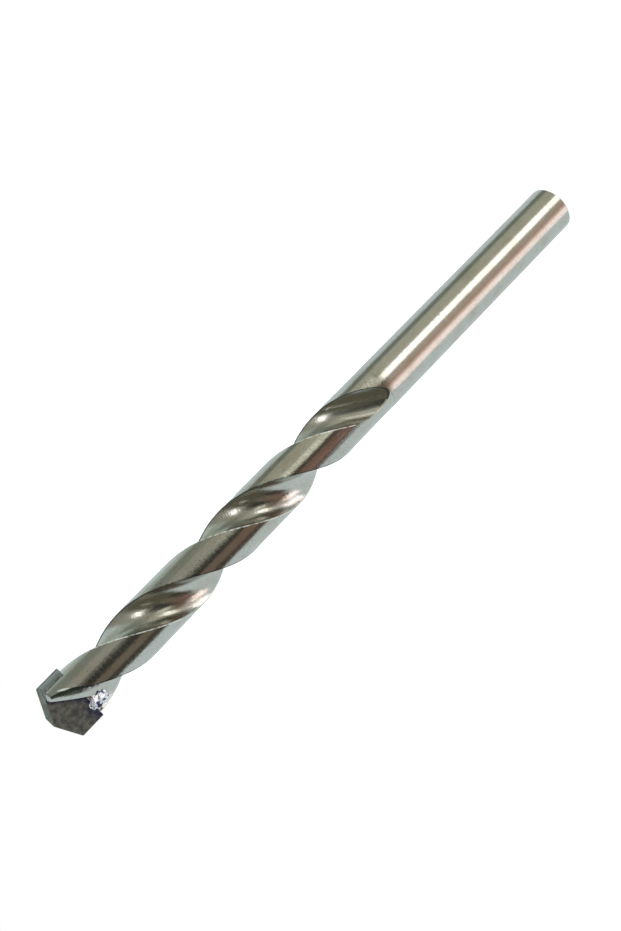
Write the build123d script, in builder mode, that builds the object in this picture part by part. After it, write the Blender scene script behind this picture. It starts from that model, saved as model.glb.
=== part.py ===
from build123d import *

import os
from math import cos, pi, radians, sin, sqrt, tan

# Masonry drill bit with a plain round shank, two helical flutes and a brazed cutting plate.
# The axis is Z. The shank end face lies on Z = 0 and the point is at the top.
# The cutting plate lies along X, and its two rake faces look along -Y and +Y.

# Overall sizes
overall_length = 150.0
drill_diameter = 12.0
shank_diameter = 10.3
shank_chamfer = 0.3

# Ground body, whose diameter is given at the point and gets less towards the shank
body_length = 90.0
body_diameter = 10.28
back_taper = 0.06

# Helical flutes, which end where the wheel leaves the steel on a path that bends down
flute_count = 2
flute_length = 89.8
flute_lead = 54.4
flute_width_angle = 92.0
core_diameter = 4.1
flute_lag_at_seat = 26.0
flute_exit_dip = 1.6

# Point, as it is ground on the carbide and on the steel behind it
point_angle = 130.0
relief_angle = 18.0
steel_setback = 0.3

# Cutting plate and the slot that it is brazed into
plate_thickness = 2.2
plate_height = 7.5
plate_side_relief = 0.15
braze_gap = 0.12

# Gash that lays each rake face open, given by where its wall starts and how it leans
gash_inset = 3.5
gash_drop = 0.8
gash_wall_angle = 41.0
gash_corner_radius = 0.5

# Flat ground on the heel of each land beside the point
bevel_start = 8.7
bevel_normal_angle = -83.0
bevel_lean_angle = 16.0

# How far the cutting tools reach past what they cut
overrun = 2.0
tool_size = 4 * drill_diameter

shank_radius = shank_diameter / 2
shank_length = overall_length - body_length
body_radius = body_diameter / 2
body_back_radius = (body_diameter - back_taper) / 2
drill_radius = drill_diameter / 2
core_radius = core_diameter / 2
half_plate = plate_thickness / 2
seat_height = overall_length - plate_height
slot_floor = seat_height - braze_gap
slot_width = plate_thickness + 2 * braze_gap

# Round flute section that leaves the core and takes up the chosen width at the outside
lip_reach = body_radius * cos(radians(flute_width_angle / 2))
lip_half_gap = body_radius * sin(radians(flute_width_angle / 2))
depth_below_lips = lip_reach - core_radius
wheel_radius = (lip_half_gap**2 + depth_below_lips**2) / (2 * depth_below_lips)
wheel_distance = core_radius + wheel_radius

# Height at which the wheel starts to leave, so that its mark ends at the flute length
exit_side_travel = sqrt((body_back_radius + wheel_radius) ** 2 - wheel_distance**2)
exit_tangent_height = exit_side_travel * flute_lead / (2 * pi * wheel_distance)
helix_start = overall_length - flute_length + exit_tangent_height + flute_exit_dip
helix_turn_to_seat = 360 * (seat_height - helix_start) / flute_lead
helix_start_angle = -90 - flute_lag_at_seat - helix_turn_to_seat
helix_length_per_height = sqrt(1 + (2 * pi * wheel_distance / flute_lead) ** 2)
exit_length = (exit_tangent_height + overrun) * helix_length_per_height
exit_full_dip = flute_exit_dip * (1 + overrun / exit_tangent_height) ** 2


# Path of the flute section's centre, a helix with a bent exit at its lower end
with BuildLine(Plane.XY.offset(helix_start)) as flute_path:
    turns = Helix(flute_lead, overall_length + overrun - helix_start, wheel_distance)
    exit_bend = turns @ 0 - turns % 0 * exit_length / 2
    exit_start = turns @ 0 - turns % 0 * exit_length - Vector(0, 0, exit_full_dip)
    Bezier(exit_start, exit_bend, turns @ 0)

# Tool that cuts one flute, with its round section kept level all the way
with BuildPart() as flute_cutter:
    with BuildSketch(Plane.XY.offset(exit_start.Z)):
        with Locations((exit_start.X, exit_start.Y)):
            Circle(wheel_radius)
    sweep(path=flute_path.wire(), normal=(0, 0, 1))


def point_cutter(setback):
    """Tool that grinds the relief behind the cutting edge of the wing on the +X side."""
    edge_slope = 1 / tan(radians(point_angle / 2))
    relief_slope = tan(radians(relief_angle))
    top_of_edge = overall_length + half_plate * relief_slope - setback
    relief_normal = (edge_slope, -relief_slope, 1)
    with BuildPart() as cutter:
        with BuildSketch(Plane(origin=(0, half_plate, top_of_edge), z_dir=relief_normal)):
            Rectangle(tool_size, tool_size)
        extrude(amount=tool_size)
    return cutter


carbide_point_cutter = point_cutter(0)
steel_point_cutter = point_cutter(steel_setback)

# Tool that opens the front rake face, with a leaning wall that runs up to the heel
gash_bottom = seat_height - gash_drop
gash_top = overall_length + overrun
gash_wall_foot = gash_inset - body_radius
gash_wall_run = (gash_top - gash_bottom) * tan(radians(gash_wall_angle))
rake_plane = Plane(origin=(0, -half_plate, 0), x_dir=(1, 0, 0), z_dir=(0, -1, 0))
with BuildPart() as gash_cutter:
    with BuildSketch(rake_plane):
        with BuildLine():
            FilletPolyline(
                (-tool_size, gash_bottom),
                (gash_wall_foot, gash_bottom),
                (gash_wall_foot + gash_wall_run, gash_top),
                radius=gash_corner_radius,
            )
            Polyline(
                (gash_wall_foot + gash_wall_run, gash_top),
                (-tool_size, gash_top),
                (-tool_size, gash_bottom),
            )
        make_face()
    extrude(amount=tool_size)

# Tool that grinds the flat on the heel, starting at the body's outside and leaning inwards
bevel_direction = Vector(1, 0, 0).rotate(Axis.Z, bevel_normal_angle)
bevel_lean = radians(bevel_lean_angle)
bevel_origin = bevel_direction * body_radius + Vector(0, 0, overall_length - bevel_start)
bevel_normal = bevel_direction * cos(bevel_lean) + Vector(0, 0, sin(bevel_lean))
with BuildPart() as heel_cutter:
    with BuildSketch(Plane(origin=bevel_origin, z_dir=bevel_normal)):
        Rectangle(tool_size, tool_size)
    extrude(amount=tool_size)


def cut_on_each_side(*cutters, start_angle=0.0):
    """Take each cutter away from the part being built, once for each flute."""
    with PolarLocations(0, flute_count, start_angle=start_angle):
        for cutter in cutters:
            add(cutter.part, mode=Mode.SUBTRACT)


# Cutting plate, with its leading corners on the drill diameter and its sides relieved
leading_reach = sqrt(drill_radius**2 - half_plate**2)
trailing_reach = sqrt((drill_radius - plate_side_relief) ** 2 - half_plate**2)
with BuildPart() as carbide_tip:
    with BuildSketch(Plane.XY.offset(seat_height)):
        with BuildLine():
            right_side = RadiusArc(
                (trailing_reach, -half_plate), (leading_reach, half_plate), -drill_radius
            )
            left_side = RadiusArc(
                (-trailing_reach, half_plate), (-leading_reach, -half_plate), -drill_radius
            )
            Line(right_side @ 1, left_side @ 0)
            Line(left_side @ 1, right_side @ 0)
        make_face()
    extrude(amount=plate_height)
    cut_on_each_side(carbide_point_cutter)
carbide_tip.part.label = "carbide_tip"

# Steel from the shank end to the point, with the flutes and all that is ground at the point
with BuildPart() as steel_form:
    with BuildSketch():
        Circle(shank_radius)
    extrude(amount=shank_length)
    chamfer(edges().sort_by(Axis.Z)[0], length=shank_chamfer)
    with Locations((0, 0, shank_length)):
        Cone(
            bottom_radius=body_back_radius,
            top_radius=body_radius,
            height=body_length,
            align=(Align.CENTER, Align.CENTER, Align.MIN),
        )
    cut_on_each_side(flute_cutter, start_angle=helix_start_angle)
    cut_on_each_side(gash_cutter, heel_cutter, steel_point_cutter)

# Block as wide as the slot, which parts the steel body from the braze round the plate
with BuildPart() as slot_block:
    with BuildSketch(Plane.XY.offset(slot_floor)):
        Rectangle(tool_size, slot_width)
    extrude(amount=tool_size)

with BuildPart() as drill_body:
    add(steel_form.part)
    add(slot_block.part, mode=Mode.SUBTRACT)
drill_body.part.label = "drill_body"

# Brazing alloy, which fills the slot round the plate and ends flush with the steel
with BuildPart() as braze_joint:
    add(steel_form.part)
    add(slot_block.part, mode=Mode.INTERSECT)
    add(carbide_tip.part, mode=Mode.SUBTRACT)
braze_joint.part.label = "braze_joint"

os.makedirs("parts", exist_ok=True)
export_step(drill_body.part, "parts/drill_body.step")
export_step(carbide_tip.part, "parts/carbide_tip.step")
export_step(braze_joint.part, "parts/braze_joint.step")
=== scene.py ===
from math import cos, pi, radians, sin, sqrt, tan

import bmesh
import bpy
from bpy.props import FloatProperty, FloatVectorProperty, PointerProperty
from mathutils import Matrix, Vector, noise


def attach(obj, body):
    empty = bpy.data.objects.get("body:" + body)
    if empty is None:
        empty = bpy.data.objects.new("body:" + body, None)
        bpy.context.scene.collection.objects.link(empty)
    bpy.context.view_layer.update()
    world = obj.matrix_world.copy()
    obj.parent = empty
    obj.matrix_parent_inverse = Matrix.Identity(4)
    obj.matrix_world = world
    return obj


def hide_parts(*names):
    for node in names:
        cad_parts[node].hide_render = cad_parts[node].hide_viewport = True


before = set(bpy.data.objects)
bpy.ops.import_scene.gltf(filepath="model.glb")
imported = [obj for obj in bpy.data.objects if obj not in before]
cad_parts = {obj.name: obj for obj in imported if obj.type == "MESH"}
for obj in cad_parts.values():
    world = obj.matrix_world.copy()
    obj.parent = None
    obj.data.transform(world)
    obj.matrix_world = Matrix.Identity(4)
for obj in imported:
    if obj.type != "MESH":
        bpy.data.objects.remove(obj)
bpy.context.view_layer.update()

bl_info = {
    "name": "Masonry Drill Bit",
    "version": (1, 0, 0),
    "blender": (4, 5, 0),
    "location": "3D View > Sidebar > Drill Bit",
    "description": "Finishes a brazed masonry drill bit and sets up a studio for it",
    "category": "Object",
}

MM = 0.001

# Sizes of the bit that its surfaces and finishes follow, in mm, as the CAD model has them
OVERALL_LENGTH = 150.0
BODY_RADIUS = 5.14
BODY_BACK_RADIUS = 5.11
FLUTE_LENGTH = 89.8
FLUTE_LEAD = 54.4
FLUTE_HALF_WIDTH = radians(46)
FLUTE_LAG_AT_SEAT = radians(26)
CORE_RADIUS = 2.05
EXIT_DIP = 1.6
OVERRUN = 2.0
SEAT_HEIGHT = 142.5
GASH_FOOT_X = -1.64
GASH_FOOT_Z = 141.7
GASH_WALL_ANGLE = radians(41)

# Flat ground on each heel beside the point: how far the front one's normal is turned from X, how
# far it leans up, and the height at which the flat starts on the body's outside, in mm
HEEL_FLAT_TURN = radians(-83)
HEEL_FLAT_LEAN = radians(16)
HEEL_FLAT_START = 141.3

# Round flute section and the path of its centre, a helix with a bent exit at its lower end
CORE_DEPTH = BODY_RADIUS * cos(FLUTE_HALF_WIDTH) - CORE_RADIUS
LIP_HALF_GAP = BODY_RADIUS * sin(FLUTE_HALF_WIDTH)
WHEEL_RADIUS = (LIP_HALF_GAP**2 + CORE_DEPTH**2) / (2 * CORE_DEPTH)
WHEEL_DISTANCE = CORE_RADIUS + WHEEL_RADIUS
TURN_RATE = 2 * pi / FLUTE_LEAD
EXIT_TANGENT_HEIGHT = (
    sqrt((BODY_BACK_RADIUS + WHEEL_RADIUS) ** 2 - WHEEL_DISTANCE**2)
    / (WHEEL_DISTANCE * TURN_RATE)
)
HELIX_START = OVERALL_LENGTH - FLUTE_LENGTH + EXIT_TANGENT_HEIGHT + EXIT_DIP
HELIX_START_ANGLE = -pi / 2 - FLUTE_LAG_AT_SEAT - TURN_RATE * (SEAT_HEIGHT - HELIX_START)

# How close corners lie to merge, and to count as on a turned or flat surface or on a flute, and
# the height below which a corner may be on the shank's chamfer, in mm
STEEL_MERGE = 0.0002
PLATE_MERGE = 0.001
SURFACE_TOLERANCE = 0.01
FLUTE_TOLERANCE = 0.02
CHAMFER_ZONE = 2.0

# How far a facet may be turned from the true surface that it stands for and from the facets it
# blends with, what turn makes an edge of the plate sharp or none at all, and the least cosine
# between an outside facet's normal and the way out
TRUE_NORMAL_TURN = radians(25)
BLENDED_TURN = radians(18)
SHARP_TURN = radians(15)
FLAT_TURN = radians(0.5)
OUTSIDE_COSINE = 0.9

LEAST_OUTSIDE_RADIUS = BODY_BACK_RADIUS - SURFACE_TOLERANCE

# Attributes that are 1 on the turned outside of the steel, and on the flats of its heels
OUTSIDE_MARK = "outside"
HEEL_FLAT_MARK = "heel_flat"

# Edge line on the flutes' faces, a painted highlight by the cutting edge and painted shade by the
# heel: how far below the body's outside it starts and is full, in mm
EDGE_LINE_START = 0.34
EDGE_LINE_FULL = 0.2

# How much of the edges' painted highlight and painted shade covers the plating, and what the edges
# and the grain add to the roughness
EDGE_PAINT_SHARE = 0.8
EDGE_ROUGHNESS = 0.3
GRAIN_ROUGHNESS = 0.15

# Width of the painted highlight and painted shade margins beside the edges of the lands, in mm,
# and at how many widths they are gone
LIP_MARGIN = 0.18
MARGIN_FADE = 1.5

# Ends of the painted highlight streak beside the heel's flat and its half width, in mm, its half
# length as a share of the way between them, and the height over which that flat gets lighter, in
# mm
STREAK_MARKS = ((4.07, -3.0, 145.53), (2.89, -4.29, 143.38))
STREAK_REACH = 0.32
STREAK_SHARE = 0.6
HEEL_FLAT_FADE = (145.6, 147.0)

# Heat tint on the rake faces, in mm: how far from the gash wall it is full, at which distances
# from that wall the rake face begins, and at which heights the tint fades above the seat
HEAT_FULL = 0.45
RAKE_BORDER = (-0.25, -0.05)
SEAT_HEAT = (SEAT_HEIGHT + 0.2, SEAT_HEIGHT + 3.0)

# Least upward part of the normal on the plate's relief faces
RELIEF_RISE = 0.3

# Sizes of the patterns in the finishes, in mm
EDGE_BREAKS = 0.7
PLATING_GRAIN = 0.3
STAINS = 5.0
PIT_SPACING = 1.6
CARBIDE_BLOTCHES = 1.1
SCRATCH_SPACING = 0.15
ALLOY_RIPPLES = 1.0
TARNISH_PATCHES = 0.9

# How far the fine ones are drawn out along X, Y and Z, where a small factor is a long line
ROUND_LINE_FACTORS = (0.06, 0.06, 1)
FLUTE_LINE_FACTORS = (1, 1, 0.04)
SCRATCH_FACTORS = (0.12, 1, 1)

# How deep they are in the surface, in mm
GRAIN_DEPTH = 0.022
LINE_DEPTH = 0.006
SCRATCH_DEPTH = 0.01
RIPPLE_IN_SKIN = 0.06

# Colours of the small parts of each finish
PIT_COLOUR = "#8a857a"
DULL_PATCHES = "#585654"
RELIEF_PATCHES = "#7f8478"
TARNISH_COLOUR = "#3d3660"

# Beads of brazing alloy, with their turn round the bit and how far from its middle they lie along
# the plate, in mm. Before that turn, each has this place along Y and Z, in mm, and faces this way.
BEADS = (("braze_bead_front", 0, 3.3), ("braze_bead_back", pi, 2.9))
BEAD_PLACE_Y = -0.74
BEAD_PLACE_Z = 141.2
BEAD_FACING = (-0.25, -0.92, -0.3)

# Lumps and ripples of a bead before it is drawn out: how close they follow each other, how deep
# they are as a share of its radius, and where in the noise they start
LUMP_RATE = 1.9
LUMP_DEPTH = 0.4
LUMP_START = 3.7
RIPPLE_RATE = 4.5
RIPPLE_DEPTH = 0.08
RIPPLE_START = 1.2

# Sockets of a Mix node, whose names repeat for numbers and colours
MIX_SHARE = 0
NUMBER_A = 2
NUMBER_B = 3
COLOUR_A = 6
COLOUR_B = 7
MIXED_COLOUR = 2

# Long side of the image that the lens is worked out for, in pixels, and of the sensor, in mm,
# and how near the camera sees, in metres
IMAGE_LONG_SIDE = 931
SENSOR_LONG_SIDE = 36.0
NEAREST_VIEW = 0.01

# Lamp over the bit, in metres, and the share of white that the floor adds for the camera
LAMP_SIZE = 0.8
LAMP_PLACE = (-0.5, -0.5, 1.3)
LAMP_AIM = (0, 0, 0.07)
FLOOR_LIFT = 0.55
BOARD_COLOUR = "#f2f2f2"
SURROUND_COLOUR = "#d9e4e6"
WHITE = "#ffffff"

# Surround that the bright metal mirrors. Each card is a patch of a sphere round the bit, whose
# radius and middle are in metres. It has its azimuths from the camera's side (left positive) and
# its elevations, in degrees, and its colour and strength.
CAMERA_SIDE = -90
CARD_STEP = radians(6)
FAR_DISTANCE = 2.5
FAR_MIDDLE = 0.09
FAR_CARDS = (
    ("dark_green_side", (-110, -82), (-50, -14), "#7f897e", 1.0),
    ("grey_green_level", (-108, -60), (-14, 8), "#8d9187", 1.0),
    ("grey_green_high", (-112, -60), (8, 28), "#b4c0b4", 1.0),
    ("khaki_low", (-82, -33), (-50, -14), "#bdbdab", 1.0),
    ("khaki_level", (-60, -26), (-14, 10), "#a5a497", 1.0),
    ("khaki_high", (-60, -2), (10, 40), "#a1a193", 1.0),
    ("khaki_by_window", (-33, -28), (-20, -14), "#c6c6b4", 1.0),
    ("bright_khaki", (-28, -4), (-24, -13), "#f0f2e0", 1.25),
    ("grey_olive_level", (-26, -14), (-14, 10), "#6f6f66", 1.0),
    ("pale_green_side", (-126, -100), (-14, 28), "#bccbc2", 1.0),
    ("grey_brown_low", (-33, -18), (-41, -24), "#96937f", 1.0),
    ("window_foot", (-54, -30), (-42, -27), "#fffcf8", 3.0),
    ("black_level", (-14, 14), (-17, 10), "#3c3d37", 1.0),
    ("brown_level", (14, 44), (-12, 10), "#7d7467", 1.0),
    ("dark_brown_level", (44, 70), (-12, 10), "#4a463c", 1.0),
    ("olive_high", (-2, 78), (10, 52), "#626152", 1.0),
    ("warm_brown", (14, 48), (-15, -12), "#7b6a5e", 1.0),
    ("red_brown", (14, 48), (-20, -15), "#946f60", 1.0),
    ("dark_red_brown", (48, 68), (-22, -12), "#5e4b43", 1.0),
    ("brown_low", (-18, 34), (-41, -24), "#7d6c5f", 1.0),
    ("brown_beside", (14, 34), (-24, -20), "#7d6c5f", 1.0),
    ("dark_by_khaki", (-4, 14), (-24, -17), "#56514a", 1.0),
    ("rose_low", (34, 68), (-22, -19), "#c09a8c", 1.0),
    ("dark_rose_low", (34, 56), (-36, -22), "#6f5a55", 1.0),
    ("warm_light", (33, 66), (-50, -36), "#ffecec", 2.4),
    ("warm_light_foot", (14, 33), (-50, -41), "#ffe9e6", 2.2),
    ("pinkish_floor", (-56, 14), (-57, -41), "#cfc4bb", 1.0),
    ("bright_floor", (-30, 45), (-80, -57), "#fff9fb", 2.6),
    ("grey_top", (-60, 60), (52, 66), "#97968d", 1.0),
    ("grey_top_left", (-60, -2), (40, 52), "#97968d", 1.0),
    ("lamp_low", (-42, -30), (10, 16), "#ffffff", 4.0),
    ("lamp_middle", (-34, -20), (15, 22), "#ffffff", 4.0),
    ("lamp_high", (-24, -12), (21, 28), "#ffffff", 4.0),
    ("small_lamp", (17, 27), (27, 33), "#fffdf0", 2.4),
    ("dark_back", (166, 194), (-50, 50), "#6a6c62", 1.0),
)

# Upright strips close round the shank, at this distance in metres, which only the shank mirrors.
# Each has its azimuths in degrees, its lowest and highest edge in mm, and its colour and strength.
NEAR_DISTANCE = 0.015
NEAR_STRIPS = (
    ("khaki_ground", (-62, -26), (-15, 55), "#bdbdab", 1.0),
    ("window_light", (-26, -3), (-15, 55), "#fffff8", 2.1),
    ("brown_ground", (-3, 16), (-15, 55), "#bfb4a7", 1.0),
    ("rose_ground", (16, 26), (-15, 55), "#c2a592", 1.0),
    ("rose_light", (26, 34), (-15, 55), "#f2d3c4", 1.0),
    ("warm_ground", (34, 56), (-15, 55), "#ffeeea", 1.5),
)


def colour(text):
    """Linear RGBA of an sRGB hex colour."""
    parts = [int(text[i:i + 2], 16) / 255 for i in (1, 3, 5)]
    linear = [c / 12.92 if c <= 0.04045 else ((c + 0.055) / 1.055) ** 2.4 for c in parts]
    return (*linear, 1.0)


def tint(text):
    """The same colour without alpha, as a colour property's default."""
    return colour(text)[:3]


def rgba(value):
    """A colour property as RGBA."""
    return (*value, 1.0)


class SteelSettings(bpy.types.PropertyGroup):
    """Finish of the plated steel body."""

    plate_colour: FloatVectorProperty(
        name="Plating", description="Colour of the bright plating", subtype="COLOR",
        size=3, min=0, max=1, default=tint("#cdcdc9"),
    )
    stain_colour: FloatVectorProperty(
        name="Stain", description="Colour of the faint warm patches in the plating",
        subtype="COLOR", size=3, min=0, max=1, default=tint("#b5b09f"),
    )
    # Painted highlight along each cutting edge, its land margin and the heel flat's streak
    lip_highlight_colour: FloatVectorProperty(
        name="Cutting Edge", description="Colour of the rubbed edge of each flute",
        subtype="COLOR", size=3, min=0, max=1, default=tint("#f4f2e8"),
    )
    # Painted shade along each heel edge and its land margin, also laid on the heel flats
    heel_edge_shade_colour: FloatVectorProperty(
        name="Heel Edge", description="Colour of the dark edge of each flute",
        subtype="COLOR", size=3, min=0, max=1, default=tint("#454f4b"),
    )
    grind_pitch: FloatProperty(
        name="Grinding Pitch", description="Distance between the grinding lines",
        unit="LENGTH", default=0.25 * MM, min=0.02 * MM, max=2 * MM, precision=5,
    )


class CarbideSettings(bpy.types.PropertyGroup):
    """Finish of the tungsten carbide plate."""

    ground_colour: FloatVectorProperty(
        name="Ground Carbide", description="Colour of the ground faces", subtype="COLOR",
        size=3, min=0, max=1, default=tint("#949b98"),
    )
    rake_colour: FloatVectorProperty(
        name="Rake Face", description="Colour of the rake faces, dull from the brazing heat",
        subtype="COLOR", size=3, min=0, max=1, default=tint("#807c70"),
    )
    relief_colour: FloatVectorProperty(
        name="Relief Faces", description="Colour of the relief faces behind the cutting edges",
        subtype="COLOR", size=3, min=0, max=1, default=tint("#62675d"),
    )
    heat_colour: FloatVectorProperty(
        name="Heat Tint", description="Colour left by brazing heat along the braze",
        subtype="COLOR", size=3, min=0, max=1, default=tint("#2f2b50"),
    )
    edge_radius: FloatProperty(
        name="Edge Radius", description="How round the plate's edges are worn",
        unit="LENGTH", default=0.2 * MM, min=0.01 * MM, max=0.5 * MM, precision=5,
    )
    heat_width: FloatProperty(
        name="Heat Tint Width", description="How far the heat tint reaches from the braze",
        unit="LENGTH", default=1.4 * MM, min=0, max=4 * MM, precision=5,
    )


class BrazeSettings(bpy.types.PropertyGroup):
    """Beads of brazing alloy that ran out behind the plate's wings."""

    alloy_colour: FloatVectorProperty(
        name="Alloy", description="Colour of the silver brazing alloy", subtype="COLOR",
        size=3, min=0, max=1, default=tint("#e9ebf0"),
    )
    bead_length: FloatProperty(
        name="Bead Length", description="Length of each bead along the bit",
        unit="LENGTH", default=4.2 * MM, min=0.5 * MM, max=5 * MM, precision=5,
    )
    bead_width: FloatProperty(
        name="Bead Width", description="Width of each bead across the wing",
        unit="LENGTH", default=3.5 * MM, min=0.5 * MM, max=4 * MM, precision=5,
    )
    bead_height: FloatProperty(
        name="Bead Height", description="How far each bead stands out of the steel",
        unit="LENGTH", default=0.5 * MM, min=0.05 * MM, max=1 * MM, precision=5,
    )


class StudioSettings(bpy.types.PropertyGroup):
    """Floor, lights and camera."""

    floor_size: FloatProperty(
        name="Floor Size", description="Side of the square floor", unit="LENGTH",
        default=6.0, min=1, max=20,
    )
    lamp_power: FloatProperty(
        name="Lamp Power", description="Power of the soft lamp over the bit", unit="POWER",
        default=6.0, min=0, max=200,
    )
    turn: FloatProperty(
        name="Turn", description="How far the camera and its surround stand round the bit",
        subtype="ANGLE", default=radians(14), min=-pi, max=pi,
    )
    focal_pixels: FloatProperty(
        name="Focal Length", description="Focal length in pixels of the photograph",
        default=1107.3, min=100, max=10000,
    )
    camera_place: FloatVectorProperty(
        name="Camera Place", description="Camera's place before the turn", size=3,
        subtype="XYZ", unit="LENGTH", default=(8.0 * MM, -206.92 * MM, 149.84 * MM), precision=5,
    )
    camera_angles: FloatVectorProperty(
        name="Camera Angles", description="Camera's pitch, yaw and roll", size=3,
        subtype="EULER", default=(0.31892, -0.04546, 3.91180), precision=5,
    )


class DrillBitSettings(bpy.types.PropertyGroup):
    """All settings of the drill bit."""

    steel: PointerProperty(type=SteelSettings)
    carbide: PointerProperty(type=CarbideSettings)
    braze: PointerProperty(type=BrazeSettings)
    studio: PointerProperty(type=StudioSettings)


def add_node(tree, kind, inputs=(), **settings):
    """Add a node with its settings, and set or link its inputs, given by name or in order."""
    made = tree.nodes.new(kind)
    for name, value in settings.items():
        setattr(made, name, value)
    for name, value in inputs.items() if isinstance(inputs, dict) else enumerate(inputs):
        if isinstance(value, bpy.types.NodeSocket):
            tree.links.new(value, made.inputs[name])
        else:
            made.inputs[name].default_value = value
    return made


def new_material(name):
    """Empty node material, with its tree and its output node."""
    material = bpy.data.materials.new(name)
    material.use_nodes = True
    tree = material.node_tree
    tree.nodes.clear()
    return material, tree, tree.nodes.new("ShaderNodeOutputMaterial")


def grinding_lines(settings, tree, place, factors):
    """Grinding lines, drawn out by these factors, as a number."""
    stretched = add_node(tree, "ShaderNodeMapping", {"Vector": place, "Scale": factors})
    return add_node(
        tree, "ShaderNodeTexNoise",
        {
            "Vector": stretched.outputs[0], "Scale": 1 / settings.grind_pitch,
            "Detail": 2, "Roughness": 0.6,
        },
    ).outputs[0]


def edge_marks(tree, place, height, along_flute, outside):
    """Edge line, heel side, and the lands' painted highlight and shade margins, as numbers."""
    flat_place = add_node(tree, "ShaderNodeMapping", {"Vector": place, "Scale": (1, 1, 0)})
    radius = add_node(tree, "ShaderNodeVectorMath", (flat_place.outputs[0],), operation="LENGTH")
    near_rim = add_node(
        tree, "ShaderNodeMapRange",
        {
            "Value": radius.outputs["Value"],
            "From Min": (BODY_RADIUS - EDGE_LINE_START) * MM,
            "From Max": (BODY_RADIUS - EDGE_LINE_FULL) * MM,
        },
    )
    edge_line = add_node(
        tree, "ShaderNodeMath", (near_rim.outputs[0], outside),
        operation="SUBTRACT", use_clamp=True,
    )
    across = add_node(tree, "ShaderNodeSeparateXYZ", (along_flute,))
    side = add_node(
        tree, "ShaderNodeMath", (across.outputs["X"], across.outputs["Y"]), operation="MULTIPLY"
    )
    is_heel = add_node(tree, "ShaderNodeMath", (side.outputs[0], 0.0), operation="GREATER_THAN")
    size_x, size_y = (
        add_node(tree, "ShaderNodeMath", (across.outputs[axis],), operation="ABSOLUTE").outputs[0]
        for axis in "XY"
    )
    turn_from_middle = add_node(tree, "ShaderNodeMath", (size_y, size_x), operation="ARCTAN2")
    by_edge = add_node(
        tree, "ShaderNodeMapRange",
        {
            "Value": turn_from_middle.outputs[0], "To Min": 1, "To Max": 0,
            "From Min": FLUTE_HALF_WIDTH + LIP_MARGIN / BODY_RADIUS,
            "From Max": FLUTE_HALF_WIDTH + MARGIN_FADE * LIP_MARGIN / BODY_RADIUS,
        },
    )
    # The painted highlight and shade margins are broken up in short pieces
    breaks = add_node(
        tree, "ShaderNodeTexNoise",
        {"Vector": place, "Scale": 1 / (EDGE_BREAKS * MM), "Detail": 2},
    )
    unbroken = add_node(
        tree, "ShaderNodeMapRange",
        {"Value": breaks.outputs[0], "From Min": 0.4, "From Max": 0.52, "To Min": 0.25},
    )
    in_helix = add_node(
        tree, "ShaderNodeMath", (height, HELIX_START * MM), operation="GREATER_THAN"
    )
    margin = outside
    for share in (by_edge, unbroken, in_helix):
        margin = add_node(
            tree, "ShaderNodeMath", (margin, share.outputs[0]), operation="MULTIPLY"
        ).outputs[0]
    lip_highlight_margin = add_node(
        tree, "ShaderNodeMath", (margin, is_heel.outputs[0]),
        operation="SUBTRACT", use_clamp=True,
    )
    heel_shade_margin = add_node(
        tree, "ShaderNodeMath", (margin, is_heel.outputs[0]), operation="MULTIPLY"
    )
    marks = (edge_line, is_heel, lip_highlight_margin, heel_shade_margin)
    return [mark.outputs[0] for mark in marks]


def painted_heel_highlight(tree, place, depth):
    """Painted highlight: a bright streak where the flat on each heel meets the land, as a number.
    """
    back = add_node(tree, "ShaderNodeMath", (depth,), operation="SIGN")
    fold = add_node(tree, "ShaderNodeMath", (back.outputs[0], -1.0), operation="MULTIPLY")
    fold_factors = add_node(
        tree, "ShaderNodeCombineXYZ", (fold.outputs[0], fold.outputs[0], 1.0)
    )
    front_place = add_node(
        tree, "ShaderNodeVectorMath", (place, fold_factors.outputs[0]), operation="MULTIPLY"
    )
    top, foot = (Vector(mark) * MM for mark in STREAK_MARKS)
    run = foot - top
    in_streak = add_node(
        tree, "ShaderNodeMapping",
        {
            "Vector": front_place.outputs[0], "Location": (top + foot) / 2,
            "Rotation": run.to_track_quat("Z", "Y").to_euler(),
            "Scale": (STREAK_REACH * MM, STREAK_REACH * MM, run.length * STREAK_SHARE),
        },
        vector_type="TEXTURE",
    )
    ball = add_node(
        tree, "ShaderNodeTexGradient", {"Vector": in_streak.outputs[0]},
        gradient_type="SPHERICAL",
    )
    return add_node(
        tree, "ShaderNodeMapRange",
        {"Value": ball.outputs["Fac"], "From Min": 0.1, "From Max": 0.5},
    ).outputs[0]


def plating_colour(settings, tree, place, grain_amount):
    """Colour of the plating with its grain, stains and pits."""
    stain = add_node(
        tree, "ShaderNodeTexNoise", {"Vector": place, "Scale": 1 / (STAINS * MM), "Detail": 4}
    )
    stain_amount = add_node(
        tree, "ShaderNodeMapRange",
        {"Value": stain.outputs[0], "From Min": 0.45, "From Max": 0.7, "To Max": 0.4},
    )
    uneven = add_node(
        tree, "ShaderNodeMath", (stain_amount.outputs[0], grain_amount), operation="ADD"
    )
    stained = add_node(
        tree, "ShaderNodeMix",
        {
            MIX_SHARE: uneven.outputs[0], COLOUR_A: rgba(settings.plate_colour),
            COLOUR_B: rgba(settings.stain_colour),
        },
        data_type="RGBA",
    )
    # Pits about 0.25 mm across, one to each cell
    pit_cells = add_node(
        tree, "ShaderNodeTexVoronoi", {"Vector": place, "Scale": 1 / (PIT_SPACING * MM)}
    )
    pit = add_node(
        tree, "ShaderNodeMapRange",
        {
            "Value": pit_cells.outputs["Distance"], "From Min": 0.05, "From Max": 0.1,
            "To Min": 1, "To Max": 0,
        },
    )
    return add_node(
        tree, "ShaderNodeMix",
        {
            MIX_SHARE: pit.outputs[0], COLOUR_A: stained.outputs[MIXED_COLOUR],
            COLOUR_B: colour(PIT_COLOUR),
        },
        data_type="RGBA",
    ).outputs[MIXED_COLOUR]


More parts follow.
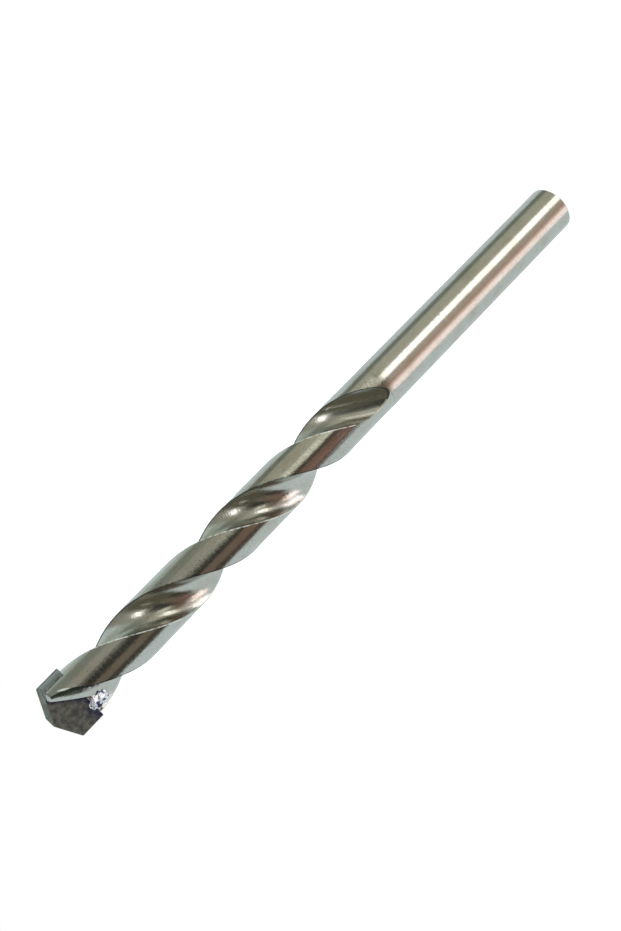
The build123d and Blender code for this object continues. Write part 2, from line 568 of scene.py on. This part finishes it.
def plated_steel_material(settings):
    # Hardened steel, ground and bright nickel plated: a soft mirror with fine grinding lines and
    # grain, faint warm stains and small pits. The lines run round the outside and along the
    # flutes, with a painted highlight along each cutting edge and painted shade along each heel
    # edge. The flat ground on each heel is darkened too, and has a painted highlight beside it.
    material, tree, output = new_material("nickel_plated_steel")
    place = add_node(tree, "ShaderNodeTexCoord").outputs["Object"]
    split = add_node(tree, "ShaderNodeSeparateXYZ", (place,))
    turn = add_node(
        tree, "ShaderNodeMath",
        (
            split.outputs["Z"], -TURN_RATE / MM,
            (TURN_RATE * HELIX_START - HELIX_START_ANGLE) % (2 * pi),
        ),
        operation="MULTIPLY_ADD",
    )
    # In this place the first flute's middle lies along X at every height
    along_flute = add_node(
        tree, "ShaderNodeVectorRotate", {"Vector": place, "Angle": turn.outputs[0]},
        rotation_type="Z_AXIS",
    ).outputs[0]
    outside = add_node(
        tree, "ShaderNodeAttribute", attribute_name=OUTSIDE_MARK
    ).outputs["Fac"]
    edge_line, is_heel, lip_highlight_margin, heel_shade_margin = edge_marks(
        tree, place, split.outputs["Z"], along_flute, outside
    )
    streak = painted_heel_highlight(tree, place, split.outputs["Y"])
    painted_highlight = add_node(
        tree, "ShaderNodeMath", (lip_highlight_margin, streak), operation="MAXIMUM"
    ).outputs[0]
    round_lines = grinding_lines(settings, tree, place, ROUND_LINE_FACTORS)
    flute_lines = grinding_lines(settings, tree, along_flute, FLUTE_LINE_FACTORS)
    lines = add_node(
        tree, "ShaderNodeMix",
        {MIX_SHARE: outside, NUMBER_A: flute_lines, NUMBER_B: round_lines},
    ).outputs[0]
    # The plating's grain is drawn coarser than it is so that it shows
    grain = add_node(
        tree, "ShaderNodeTexNoise",
        {"Vector": place, "Scale": 1 / (PLATING_GRAIN * MM), "Detail": 2},
    ).outputs[0]
    grain_amount = add_node(
        tree, "ShaderNodeMapRange",
        {"Value": grain, "From Min": 0.35, "From Max": 0.65, "To Max": 0.4},
    ).outputs[0]
    # Painted highlight on the cutting side and painted shade on the heel side
    edge_colour = add_node(
        tree, "ShaderNodeMix",
        {
            MIX_SHARE: is_heel, COLOUR_A: rgba(settings.lip_highlight_colour),
            COLOUR_B: rgba(settings.heel_edge_shade_colour),
        },
        data_type="RGBA",
    )
    both_edges = add_node(
        tree, "ShaderNodeMath", (edge_line, heel_shade_margin), operation="MAXIMUM"
    )
    edge_paint_share = add_node(
        tree, "ShaderNodeMath", (both_edges.outputs[0], EDGE_PAINT_SHARE), operation="MULTIPLY"
    )
    edged = add_node(
        tree, "ShaderNodeMix",
        {
            MIX_SHARE: edge_paint_share.outputs[0],
            COLOUR_A: plating_colour(settings, tree, place, grain_amount),
            COLOUR_B: edge_colour.outputs[MIXED_COLOUR],
        },
        data_type="RGBA",
    )
    highlighted = add_node(
        tree, "ShaderNodeMix",
        {
            MIX_SHARE: painted_highlight, COLOUR_A: edged.outputs[MIXED_COLOUR],
            COLOUR_B: rgba(settings.lip_highlight_colour),
        },
        data_type="RGBA",
    )
    # Each heel flat is darkened towards the heel edge's shade colour, less so towards the point
    heel_flat = add_node(tree, "ShaderNodeAttribute", attribute_name=HEEL_FLAT_MARK)
    fade_start, fade_end = HEEL_FLAT_FADE
    flat_shade = add_node(
        tree, "ShaderNodeMapRange",
        {
            "Value": split.outputs["Z"], "From Min": fade_start * MM,
            "From Max": fade_end * MM, "To Min": 0.85, "To Max": 0.3,
        },
    )
    dark_flat = add_node(
        tree, "ShaderNodeMath", (heel_flat.outputs["Fac"], flat_shade.outputs[0]),
        operation="MULTIPLY",
    )
    flat_darkened = add_node(
        tree, "ShaderNodeMix",
        {
            MIX_SHARE: dark_flat.outputs[0], COLOUR_A: highlighted.outputs[MIXED_COLOUR],
            COLOUR_B: rgba(settings.heel_edge_shade_colour),
        },
        data_type="RGBA",
    )
    # The painted highlight is mostly matte, so that it stays bright from every side
    mirror = add_node(
        tree, "ShaderNodeMapRange", {"Value": painted_highlight, "To Min": 1.0, "To Max": 0.35}
    )
    line_roughness = add_node(
        tree, "ShaderNodeMapRange",
        {"Value": lines, "From Min": 0.3, "From Max": 0.7, "To Min": 0.11, "To Max": 0.2},
    )
    grained = add_node(
        tree, "ShaderNodeMath",
        (grain_amount, GRAIN_ROUGHNESS, line_roughness.outputs[0]), operation="MULTIPLY_ADD",
    )
    roughness = add_node(
        tree, "ShaderNodeMath", (edge_line, EDGE_ROUGHNESS, grained.outputs[0]),
        operation="MULTIPLY_ADD",
    )
    grain_strength = add_node(
        tree, "ShaderNodeMapRange", {"Value": outside, "To Min": 1.0, "To Max": 0.7}
    )
    grain_bump = add_node(
        tree, "ShaderNodeBump",
        {"Height": grain, "Strength": grain_strength.outputs[0], "Distance": GRAIN_DEPTH * MM},
    )
    bump = add_node(
        tree, "ShaderNodeBump",
        {
            "Height": lines, "Strength": 0.3, "Distance": LINE_DEPTH * MM,
            "Normal": grain_bump.outputs[0],
        },
    )
    shader = add_node(
        tree, "ShaderNodeBsdfPrincipled",
        {
            "Base Color": flat_darkened.outputs[MIXED_COLOUR], "Metallic": mirror.outputs[0],
            "Roughness": roughness.outputs[0], "Normal": bump.outputs[0],
        },
    )
    tree.links.new(shader.outputs[0], output.inputs["Surface"])
    return material


def heat_tint(settings, tree, split, on_rake, from_wall, blotch):
    """Violet heat tint on the rake faces, along the gash wall and above the seat, as a number."""
    by_wall = add_node(
        tree, "ShaderNodeMapRange",
        {
            "Value": from_wall, "From Min": HEAT_FULL * MM,
            "From Max": settings.heat_width, "To Min": 1, "To Max": 0,
        },
        interpolation_type="SMOOTHSTEP",
    )
    seat_low, seat_high = SEAT_HEAT
    by_seat = add_node(
        tree, "ShaderNodeMapRange",
        {
            "Value": split.outputs["Z"], "From Min": seat_low * MM,
            "From Max": seat_high * MM, "To Min": 0.9, "To Max": 0,
        },
        interpolation_type="SMOOTHSTEP",
    )
    closest = add_node(
        tree, "ShaderNodeMath", (by_wall.outputs[0], by_seat.outputs[0]), operation="MAXIMUM"
    )
    near = add_node(
        tree, "ShaderNodeMath", (closest.outputs[0], on_rake), operation="MULTIPLY"
    )
    patchy = add_node(
        tree, "ShaderNodeMapRange",
        {"Value": blotch, "From Min": 0.36, "From Max": 0.56, "To Min": 0.4, "To Max": 1},
    )
    return add_node(
        tree, "ShaderNodeMath", (near.outputs[0], patchy.outputs[0]), operation="MULTIPLY"
    ).outputs[0]


def tungsten_carbide_material(settings):
    # Sintered tungsten carbide, ground with a diamond wheel: dull grey, half metal and half
    # matte, darker on the rake faces and the relief faces, with scratches along the plate and
    # a violet heat tint where the gash wall meets the rake face.
    material, tree, output = new_material("ground_tungsten_carbide")
    coordinates = add_node(tree, "ShaderNodeTexCoord")
    place = coordinates.outputs["Object"]
    facing = add_node(tree, "ShaderNodeSeparateXYZ", (coordinates.outputs["Normal"],))
    on_relief = add_node(
        tree, "ShaderNodeMath", (facing.outputs["Z"], RELIEF_RISE), operation="GREATER_THAN"
    )
    split = add_node(tree, "ShaderNodeSeparateXYZ", (place,))
    # Distance along the plate from the gash wall, which leans, on either side of the bit
    front = add_node(tree, "ShaderNodeMath", (split.outputs["Y"],), operation="SIGN")
    side_x = add_node(
        tree, "ShaderNodeMath", (split.outputs["X"], front.outputs[0]), operation="MULTIPLY"
    )
    slope = tan(GASH_WALL_ANGLE)
    wall_x = add_node(
        tree, "ShaderNodeMath",
        (split.outputs["Z"], slope, (GASH_FOOT_X - GASH_FOOT_Z * slope) * MM),
        operation="MULTIPLY_ADD",
    )
    from_wall = add_node(
        tree, "ShaderNodeMath", (wall_x.outputs[0], side_x.outputs[0]), operation="ADD"
    ).outputs[0]
    blotch = add_node(
        tree, "ShaderNodeTexNoise",
        {"Vector": place, "Scale": 1 / (CARBIDE_BLOTCHES * MM), "Detail": 4},
    ).outputs[0]
    blotch_amount = add_node(
        tree, "ShaderNodeMapRange", {"Value": blotch, "From Min": 0.38, "From Max": 0.62}
    ).outputs[0]
    border_start, border_end = RAKE_BORDER
    on_rake = add_node(
        tree, "ShaderNodeMapRange",
        {"Value": from_wall, "From Min": border_start * MM, "From Max": border_end * MM},
    ).outputs[0]
    dulled = add_node(
        tree, "ShaderNodeMix",
        {
            MIX_SHARE: blotch_amount, COLOUR_A: rgba(settings.rake_colour),
            COLOUR_B: colour(DULL_PATCHES),
        },
        data_type="RGBA",
    )
    worn = add_node(
        tree, "ShaderNodeMix",
        {
            MIX_SHARE: on_rake, COLOUR_A: rgba(settings.ground_colour),
            COLOUR_B: dulled.outputs[MIXED_COLOUR],
        },
        data_type="RGBA",
    )
    heated = add_node(
        tree, "ShaderNodeMix",
        {
            MIX_SHARE: heat_tint(settings, tree, split, on_rake, from_wall, blotch),
            COLOUR_A: worn.outputs[MIXED_COLOUR], COLOUR_B: rgba(settings.heat_colour),
        },
        data_type="RGBA",
    )
    relief = add_node(
        tree, "ShaderNodeMix",
        {
            MIX_SHARE: blotch_amount, COLOUR_A: rgba(settings.relief_colour),
            COLOUR_B: colour(RELIEF_PATCHES),
        },
        data_type="RGBA",
    )
    relieved = add_node(
        tree, "ShaderNodeMix",
        {
            MIX_SHARE: on_relief.outputs[0], COLOUR_A: heated.outputs[MIXED_COLOUR],
            COLOUR_B: relief.outputs[MIXED_COLOUR],
        },
        data_type="RGBA",
    )
    # The grinding scratches run along the plate
    scratch_place = add_node(
        tree, "ShaderNodeMapping", {"Vector": place, "Scale": SCRATCH_FACTORS}
    )
    scratches = add_node(
        tree, "ShaderNodeTexNoise",
        {
            "Vector": scratch_place.outputs[0], "Scale": 1 / (SCRATCH_SPACING * MM),
            "Detail": 3,
        },
    ).outputs[0]
    roughness = add_node(
        tree, "ShaderNodeMapRange",
        {"Value": scratches, "From Min": 0.3, "From Max": 0.7, "To Min": 0.42, "To Max": 0.62},
    )
    bump = add_node(
        tree, "ShaderNodeBump",
        {"Height": scratches, "Strength": 0.5, "Distance": SCRATCH_DEPTH * MM},
    )
    shader = add_node(
        tree, "ShaderNodeBsdfPrincipled",
        {
            "Base Color": relieved.outputs[MIXED_COLOUR], "Metallic": 0.55,
            "Roughness": roughness.outputs[0], "Normal": bump.outputs[0],
        },
    )
    tree.links.new(shader.outputs[0], output.inputs["Surface"])
    return material


def silver_braze_material(settings):
    # Silver brazing alloy, melted and left as it set: white metal with a wavy skin, whitened by
    # what is left of the flux, and dark violet tarnish in patches.
    material, tree, output = new_material("silver_brazing_alloy")
    place = add_node(tree, "ShaderNodeTexCoord").outputs["Object"]
    ripples = add_node(
        tree, "ShaderNodeTexNoise",
        {"Vector": place, "Scale": 1 / (ALLOY_RIPPLES * MM), "Detail": 2},
    )
    tarnish = add_node(
        tree, "ShaderNodeTexNoise",
        {"Vector": place, "Scale": 1 / (TARNISH_PATCHES * MM), "Detail": 3},
    ).outputs[0]
    tarnish_amount = add_node(
        tree, "ShaderNodeMapRange", {"Value": tarnish, "From Min": 0.54, "From Max": 0.6}
    )
    surface = add_node(
        tree, "ShaderNodeMix",
        {
            MIX_SHARE: tarnish_amount.outputs[0], COLOUR_A: rgba(settings.alloy_colour),
            COLOUR_B: colour(TARNISH_COLOUR),
        },
        data_type="RGBA",
    )
    roughness = add_node(
        tree, "ShaderNodeMapRange",
        {"Value": tarnish, "From Min": 0.3, "From Max": 0.7, "To Min": 0.14, "To Max": 0.36},
    )
    bump = add_node(
        tree, "ShaderNodeBump",
        {"Height": ripples.outputs[0], "Strength": 0.4, "Distance": RIPPLE_IN_SKIN * MM},
    )
    shader = add_node(
        tree, "ShaderNodeBsdfPrincipled",
        {
            "Base Color": surface.outputs[MIXED_COLOUR], "Metallic": 0.6,
            "Roughness": roughness.outputs[0], "Normal": bump.outputs[0],
        },
    )
    tree.links.new(shader.outputs[0], output.inputs["Surface"])
    return material


def flute_centre(height):
    """Centre of the first flute's section at a height, and how it moves with height, in mm."""
    reach = EXIT_TANGENT_HEIGHT + OVERRUN
    angle = HELIX_START_ANGLE
    start = Vector((cos(angle), sin(angle))) * WHEEL_DISTANCE
    tangent = Vector((-sin(angle), cos(angle))) * WHEEL_DISTANCE * TURN_RATE
    if height >= HELIX_START:
        turned = Matrix.Rotation(TURN_RATE * (height - HELIX_START), 2)
        return turned @ start, turned @ tangent
    dip = EXIT_DIP * (1 + OVERRUN / EXIT_TANGENT_HEIGHT) ** 2
    drop = HELIX_START - height
    share = (sqrt(reach**2 + 4 * dip * drop) - reach) / (2 * dip)
    return start - tangent * reach * share, tangent * reach / (reach + 2 * dip * share)


def true_normal(point, flat_normal):
    """Normal of the smooth surface that a corner of a steel facet lies on, if it lies on one."""
    flat_place = Vector(point.xy)
    outward = flat_place.normalized()
    choices = [outward.to_3d()]
    if point.z < CHAMFER_ZONE * MM:
        choices.append(Vector((*outward, -1)).normalized())
    centre, travel = flute_centre(point.z / MM)
    for side in (1, -1):
        inward = side * centre - flat_place / MM
        if abs(inward.length - WHEEL_RADIUS) < FLUTE_TOLERANCE:
            inward.normalize()
            choices.append(Vector((*inward, -side * inward.dot(travel))).normalized())
    best = max(choices, key=flat_normal.dot)
    on_surface = best is not choices[0] or flat_place.length > LEAST_OUTSIDE_RADIUS * MM
    return best if on_surface and best.dot(flat_normal) > cos(TRUE_NORMAL_TURN) else None


def blended_normal(corner, flat_normal):
    """Mean normal of the facets round a corner that are turned little from its own."""
    total = Vector()
    for near in corner.vert.link_faces:
        if near.normal.dot(flat_normal) > cos(BLENDED_TURN):
            total += near.normal * near.calc_area()
    return total.normalized() if total.length > 0 else flat_normal.copy()


def on_heel_flat(face):
    """Whether a face of the steel lies on the flat that is ground on a heel."""
    side = -1 if face.calc_center_median().y > 0 else 1
    direction = Vector((cos(HEEL_FLAT_TURN), sin(HEEL_FLAT_TURN), 0))
    start = direction * BODY_RADIUS + Vector((0, 0, HEEL_FLAT_START))
    normal = direction * cos(HEEL_FLAT_LEAN) + Vector((0, 0, sin(HEEL_FLAT_LEAN)))
    fold = Matrix.Diagonal((side, side, 1))
    return all(
        abs((fold @ vert.co / MM - start).dot(normal)) < SURFACE_TOLERANCE for vert in face.verts
    )


def smooth_steel_mesh(source):
    """Merged copy of the CAD body, and its corner normals, taken from the true surfaces."""
    shaped = bmesh.new()
    shaped.from_mesh(source.data)
    bmesh.ops.remove_doubles(shaped, verts=shaped.verts, dist=STEEL_MERGE * MM)
    bmesh.ops.dissolve_degenerate(shaped, edges=shaped.edges, dist=STEEL_MERGE * MM)
    shaped.normal_update()
    outside = shaped.faces.layers.float.new(OUTSIDE_MARK)
    heel_flat = shaped.faces.layers.float.new(HEEL_FLAT_MARK)
    normals = []
    for face in shaped.faces:
        face.smooth = True
        on_rim = all(vert.co.xy.length > LEAST_OUTSIDE_RADIUS * MM for vert in face.verts)
        way_out = face.calc_center_median().xy.normalized()
        face[outside] = float(on_rim and face.normal.xy.dot(way_out) > OUTSIDE_COSINE)
        face[heel_flat] = float(on_heel_flat(face))
        found = [true_normal(corner.vert.co, face.normal) for corner in face.loops]
        if None in found:
            found = [blended_normal(corner, face.normal) for corner in face.loops]
        normals.extend(found)
    return shaped, normals


def rounded_plate_mesh(source, radius):
    """Merged copy of the CAD plate, with its edges worn round."""
    shaped = bmesh.new()
    shaped.from_mesh(source.data)
    bmesh.ops.remove_doubles(shaped, verts=shaped.verts, dist=PLATE_MERGE * MM)
    bmesh.ops.dissolve_limit(
        shaped, angle_limit=FLAT_TURN, verts=shaped.verts, edges=shaped.edges
    )
    sharp = [edge for edge in shaped.edges if edge.calc_face_angle(0) > SHARP_TURN]
    worn = bmesh.ops.bevel(
        shaped, geom=sharp, offset=radius, offset_type="OFFSET", affect="EDGES", segments=3,
        profile=0.5, material=-1, clamp_overlap=True,
    )
    for face in worn["faces"]:
        face.smooth = True
    return shaped


def bead_mesh(settings, half_turn, reach):
    """Lumpy drop of brazing alloy, in its place behind a wing of the plate."""
    bead = bmesh.new()
    bmesh.ops.create_icosphere(bead, subdivisions=5, radius=1)
    for vert in bead.verts:
        lump = noise.noise(vert.co * LUMP_RATE + Vector((half_turn, 0, LUMP_START)))
        ripple = noise.noise(vert.co * RIPPLE_RATE + Vector((0, half_turn, RIPPLE_START)))
        vert.co *= 1 + LUMP_DEPTH * lump + RIPPLE_DEPTH * ripple
    size = Vector((settings.bead_width / 2, settings.bead_height, settings.bead_length / 2))
    bmesh.ops.scale(bead, vec=size, verts=bead.verts)
    middle = Vector((-reach, BEAD_PLACE_Y, BEAD_PLACE_Z)) * MM
    lie = Vector(BEAD_FACING).normalized().to_track_quat("Y", "Z").to_matrix().to_4x4()
    place = Matrix.Rotation(half_turn, 4, "Z") @ Matrix.Translation(middle) @ lie
    bmesh.ops.transform(bead, matrix=place, verts=bead.verts)
    for face in bead.faces:
        face.smooth = True
    return bead


def new_object(name, shaped, material):
    """Object at the origin with the mesh that the given bmesh becomes."""
    mesh = bpy.data.meshes.new(name)
    shaped.to_mesh(mesh)
    shaped.free()
    mesh.materials.append(material)
    made = bpy.data.objects.new(name, mesh)
    bpy.context.scene.collection.objects.link(made)
    return made


def lay_floor(settings):
    # White painted board, which the camera sees as plain white with the bit's soft shadow
    material, tree, output = new_material("white_board")
    path = add_node(tree, "ShaderNodeLightPath")
    paint = add_node(tree, "ShaderNodeBsdfDiffuse", {"Color": colour(BOARD_COLOUR)})
    lift = add_node(
        tree, "ShaderNodeMath", (path.outputs["Is Camera Ray"], FLOOR_LIFT),
        operation="MULTIPLY",
    )
    glow = add_node(tree, "ShaderNodeEmission", {"Strength": lift.outputs[0]})
    both = add_node(tree, "ShaderNodeAddShader", (paint.outputs[0], glow.outputs[0]))
    tree.links.new(both.outputs[0], output.inputs["Surface"])
    board = bmesh.new()
    bmesh.ops.create_grid(board, x_segments=1, y_segments=1, size=settings.floor_size / 2)
    floor = new_object("floor", board, material)
    floor.visible_glossy = False


def far_card_edge(card, azimuth, elevations):
    """Upright arc of the large sphere, at the azimuth where a card starts."""
    low, high = (radians(elevation) for elevation in elevations)
    foot = Vector((cos(azimuth) * cos(low), sin(azimuth) * cos(low), sin(low)))
    corner = card.verts.new(foot * FAR_DISTANCE)
    bmesh.ops.spin(
        card, geom=[corner], cent=(0, 0, 0), axis=(sin(azimuth), -cos(azimuth), 0),
        angle=high - low, steps=max(1, round((high - low) / CARD_STEP)),
    )
    bmesh.ops.translate(card, vec=(0, 0, FAR_MIDDLE), verts=card.verts)


def near_strip_edge(card, azimuth, heights):
    """Straight upright edge, at the azimuth where a strip starts."""
    low, high = (height * MM for height in heights)
    foot = card.verts.new(Vector((cos(azimuth), sin(azimuth), 0)) * NEAR_DISTANCE)
    foot.co.z = low
    raised = bmesh.ops.extrude_vert_indiv(card, verts=[foot])
    bmesh.ops.translate(card, vec=(0, 0, high - low), verts=raised["verts"])


def hang_card(turned, edge_maker, name, azimuths, upright, hex_colour, strength):
    """Glowing card, which only the metal's reflections see."""
    material, tree, output = new_material("card_" + name)
    glow = add_node(
        tree, "ShaderNodeEmission", {"Color": colour(hex_colour), "Strength": strength}
    )
    tree.links.new(glow.outputs[0], output.inputs["Surface"])
    start, end = (radians(CAMERA_SIDE - azimuth) for azimuth in azimuths)
    card = bmesh.new()
    edge_maker(card, start, upright)
    bmesh.ops.spin(
        card, geom=card.verts[:] + card.edges[:], cent=(0, 0, 0), axis=(0, 0, 1),
        angle=end - start, steps=max(1, round(abs(end - start) / CARD_STEP)),
    )
    bmesh.ops.transform(card, matrix=turned, verts=card.verts)
    hung = new_object("card_" + name, card, material)
    hung.visible_camera = False
    hung.visible_diffuse = False
    hung.visible_shadow = False


def light_world(context):
    # White surround: plain white to the camera, pale grey-blue in the metal
    world = bpy.data.worlds.new("white_surround")
    world.use_nodes = True
    tree = world.node_tree
    tree.nodes.clear()
    path = add_node(tree, "ShaderNodeLightPath")
    shade = add_node(
        tree, "ShaderNodeMix",
        {
            MIX_SHARE: path.outputs["Is Camera Ray"], COLOUR_A: colour(SURROUND_COLOUR),
            COLOUR_B: colour(WHITE),
        },
        data_type="RGBA",
    )
    glow = add_node(tree, "ShaderNodeBackground", {"Color": shade.outputs[MIXED_COLOUR]})
    add_node(tree, "ShaderNodeOutputWorld", {"Surface": glow.outputs[0]})
    context.scene.world = world


def hang_lamp(context, settings, turned):
    """Soft round lamp, which casts the bit's shadow and isn't mirrored."""
    light = bpy.data.lights.new("soft_lamp", "AREA")
    light.shape = "DISK"
    light.size = LAMP_SIZE
    light.energy = settings.lamp_power
    lamp = bpy.data.objects.new("soft_lamp", light)
    context.scene.collection.objects.link(lamp)
    spot = Vector(LAMP_PLACE)
    aim = (Vector(LAMP_AIM) - spot).to_track_quat("-Z", "Y").to_matrix().to_4x4()
    lamp.matrix_world = turned @ Matrix.Translation(spot) @ aim
    lamp.visible_glossy = False


def set_camera(context, settings, turned):
    """Camera at the photograph's viewing angle."""
    lens = bpy.data.cameras.new("camera")
    lens.sensor_width = SENSOR_LONG_SIDE
    lens.lens = settings.focal_pixels * SENSOR_LONG_SIDE / IMAGE_LONG_SIDE
    lens.clip_start = NEAREST_VIEW
    pitch, yaw, roll = settings.camera_angles
    forward = Vector((sin(yaw) * cos(pitch), cos(yaw) * cos(pitch), -sin(pitch)))
    level = Vector((cos(yaw), -sin(yaw), 0))
    right = cos(roll) * level + sin(roll) * level.cross(forward)
    facing = Matrix((right, right.cross(forward), -forward)).transposed().to_4x4()
    camera = bpy.data.objects.new("camera", lens)
    context.scene.collection.objects.link(camera)
    camera.matrix_world = turned @ Matrix.Translation(settings.camera_place) @ facing
    context.scene.camera = camera


class DRILLBIT_OT_steel_body(bpy.types.Operator):
    """Finish the fluted steel body"""

    bl_idname = "drillbit.steel_body"
    bl_label = "Steel Body"

    def execute(self, context):
        material = plated_steel_material(context.scene.drill_bit.steel)
        shaped, normals = smooth_steel_mesh(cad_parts["drill_body"])
        body = new_object("steel_body", shaped, material)
        body.data.normals_split_custom_set(normals)
        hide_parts("drill_body")
        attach(body, "root")
        return {"FINISHED"}


class DRILLBIT_OT_carbide_plate(bpy.types.Operator):
    """Finish the carbide cutting plate"""

    bl_idname = "drillbit.carbide_plate"
    bl_label = "Carbide Plate"

    def execute(self, context):
        settings = context.scene.drill_bit.carbide
        shaped = rounded_plate_mesh(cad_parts["carbide_tip"], settings.edge_radius)
        plate = new_object("carbide_plate", shaped, tungsten_carbide_material(settings))
        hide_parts("carbide_tip")
        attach(plate, "root")
        return {"FINISHED"}


class DRILLBIT_OT_braze(bpy.types.Operator):
    """Finish the brazed joint and add the beads of alloy behind the plate's wings"""

    bl_idname = "drillbit.braze"
    bl_label = "Braze"

    def execute(self, context):
        settings = context.scene.drill_bit.braze
        material = silver_braze_material(settings)
        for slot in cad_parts["braze_joint"].material_slots:
            slot.material = material
        for name, half_turn, reach in BEADS:
            piece = new_object(name, bead_mesh(settings, half_turn, reach), material)
            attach(piece, "root")
        return {"FINISHED"}


class DRILLBIT_OT_studio(bpy.types.Operator):
    """Lay the floor, hang the surround and the lamp, and set the camera"""

    bl_idname = "drillbit.studio"
    bl_label = "Studio"

    def execute(self, context):
        settings = context.scene.drill_bit.studio
        turned = Matrix.Rotation(settings.turn, 4, "Z")
        lay_floor(settings)
        for card in FAR_CARDS:
            hang_card(turned, far_card_edge, *card)
        for strip in NEAR_STRIPS:
            hang_card(turned, near_strip_edge, *strip)
        light_world(context)
        hang_lamp(context, settings, turned)
        set_camera(context, settings, turned)
        return {"FINISHED"}


OPERATORS = (
    DRILLBIT_OT_steel_body, DRILLBIT_OT_carbide_plate, DRILLBIT_OT_braze, DRILLBIT_OT_studio,
)


class DRILLBIT_PT_sidebar(bpy.types.Panel):
    """Sidebar panel that lists the pieces and the studio"""

    bl_label = "Drill Bit"
    bl_idname = "DRILLBIT_PT_sidebar"
    bl_space_type = "VIEW_3D"
    bl_region_type = "UI"
    bl_category = "Drill Bit"

    def draw(self, context):
        groups = ("steel", "carbide", "braze", "studio")
        for group_name, operator in zip(groups, OPERATORS):
            group = getattr(context.scene.drill_bit, group_name)
            box = self.layout.box()
            for name in group.__annotations__:
                box.prop(group, name)
            box.operator(operator.bl_idname)


CLASSES = (
    SteelSettings, CarbideSettings, BrazeSettings, StudioSettings, DrillBitSettings,
    *OPERATORS, DRILLBIT_PT_sidebar,
)


def register():
    for cls in CLASSES:
        bpy.utils.register_class(cls)
    bpy.types.Scene.drill_bit = PointerProperty(type=DrillBitSettings)


def unregister():
    del bpy.types.Scene.drill_bit
    for cls in reversed(CLASSES):
        bpy.utils.unregister_class(cls)


def main():
    register()
    bpy.context.scene.view_settings.view_transform = "Standard"
    bpy.ops.drillbit.steel_body()
    bpy.ops.drillbit.carbide_plate()
    bpy.ops.drillbit.braze()
    bpy.ops.drillbit.studio()
    bpy.context.view_layer.update()


if __name__ == "__main__":
    main()
